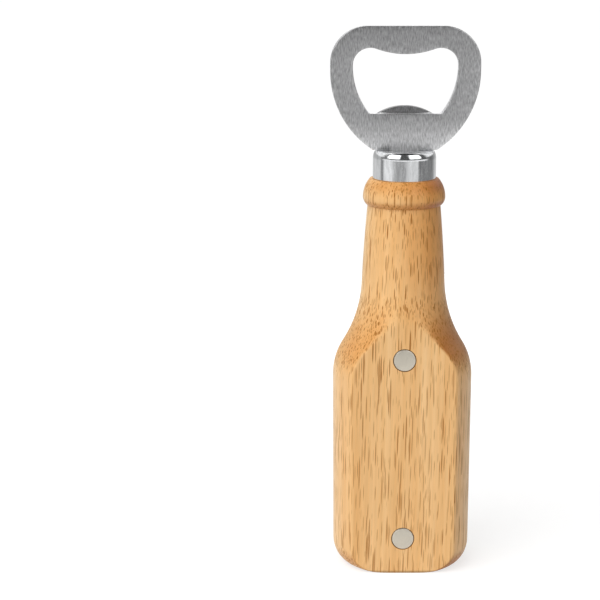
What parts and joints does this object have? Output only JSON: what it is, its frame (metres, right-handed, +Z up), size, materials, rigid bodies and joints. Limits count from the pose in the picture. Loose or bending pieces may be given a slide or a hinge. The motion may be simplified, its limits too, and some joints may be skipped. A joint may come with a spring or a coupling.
{
  "type": "bottle opener",
  "caption": "Bottle-shaped wooden handle with flat front and back, a metal ferrule, a stamped steel cap opener head with a pushed-out lip, and disc magnets let into its back.",
  "frame": {"origin": "middle of the handle's base, where the opener stands", "axes": "+Z up the handle to the opener head, +Y out of the back that holds the magnets, -Y out of the plain front, +X to the right when the plain front is looked at"},
  "size_m": [0.0402, 0.025, 0.1482],
  "materials": {
    "handle_wood": "satin lacquer, fine straight grain with short dark pores",
    "plate_steel": "brushed lengthwise",
    "ferrule_plating": "bright plated",
    "magnet_nickel": "satin nickel plated",
    "cured_glue": "clear amber, glossy"
  },
  "bodies": {
    "root": {"handle": "handle_wood", "ferrule": "ferrule_plating", "opener_head": "plate_steel", "tang_adhesive": "cured_glue", "upper_magnet": "magnet_nickel", "lower_magnet": "magnet_nickel", "upper_magnet_adhesive": "cured_glue", "lower_magnet_adhesive": "cured_glue"}
  },
  "joints": []
}
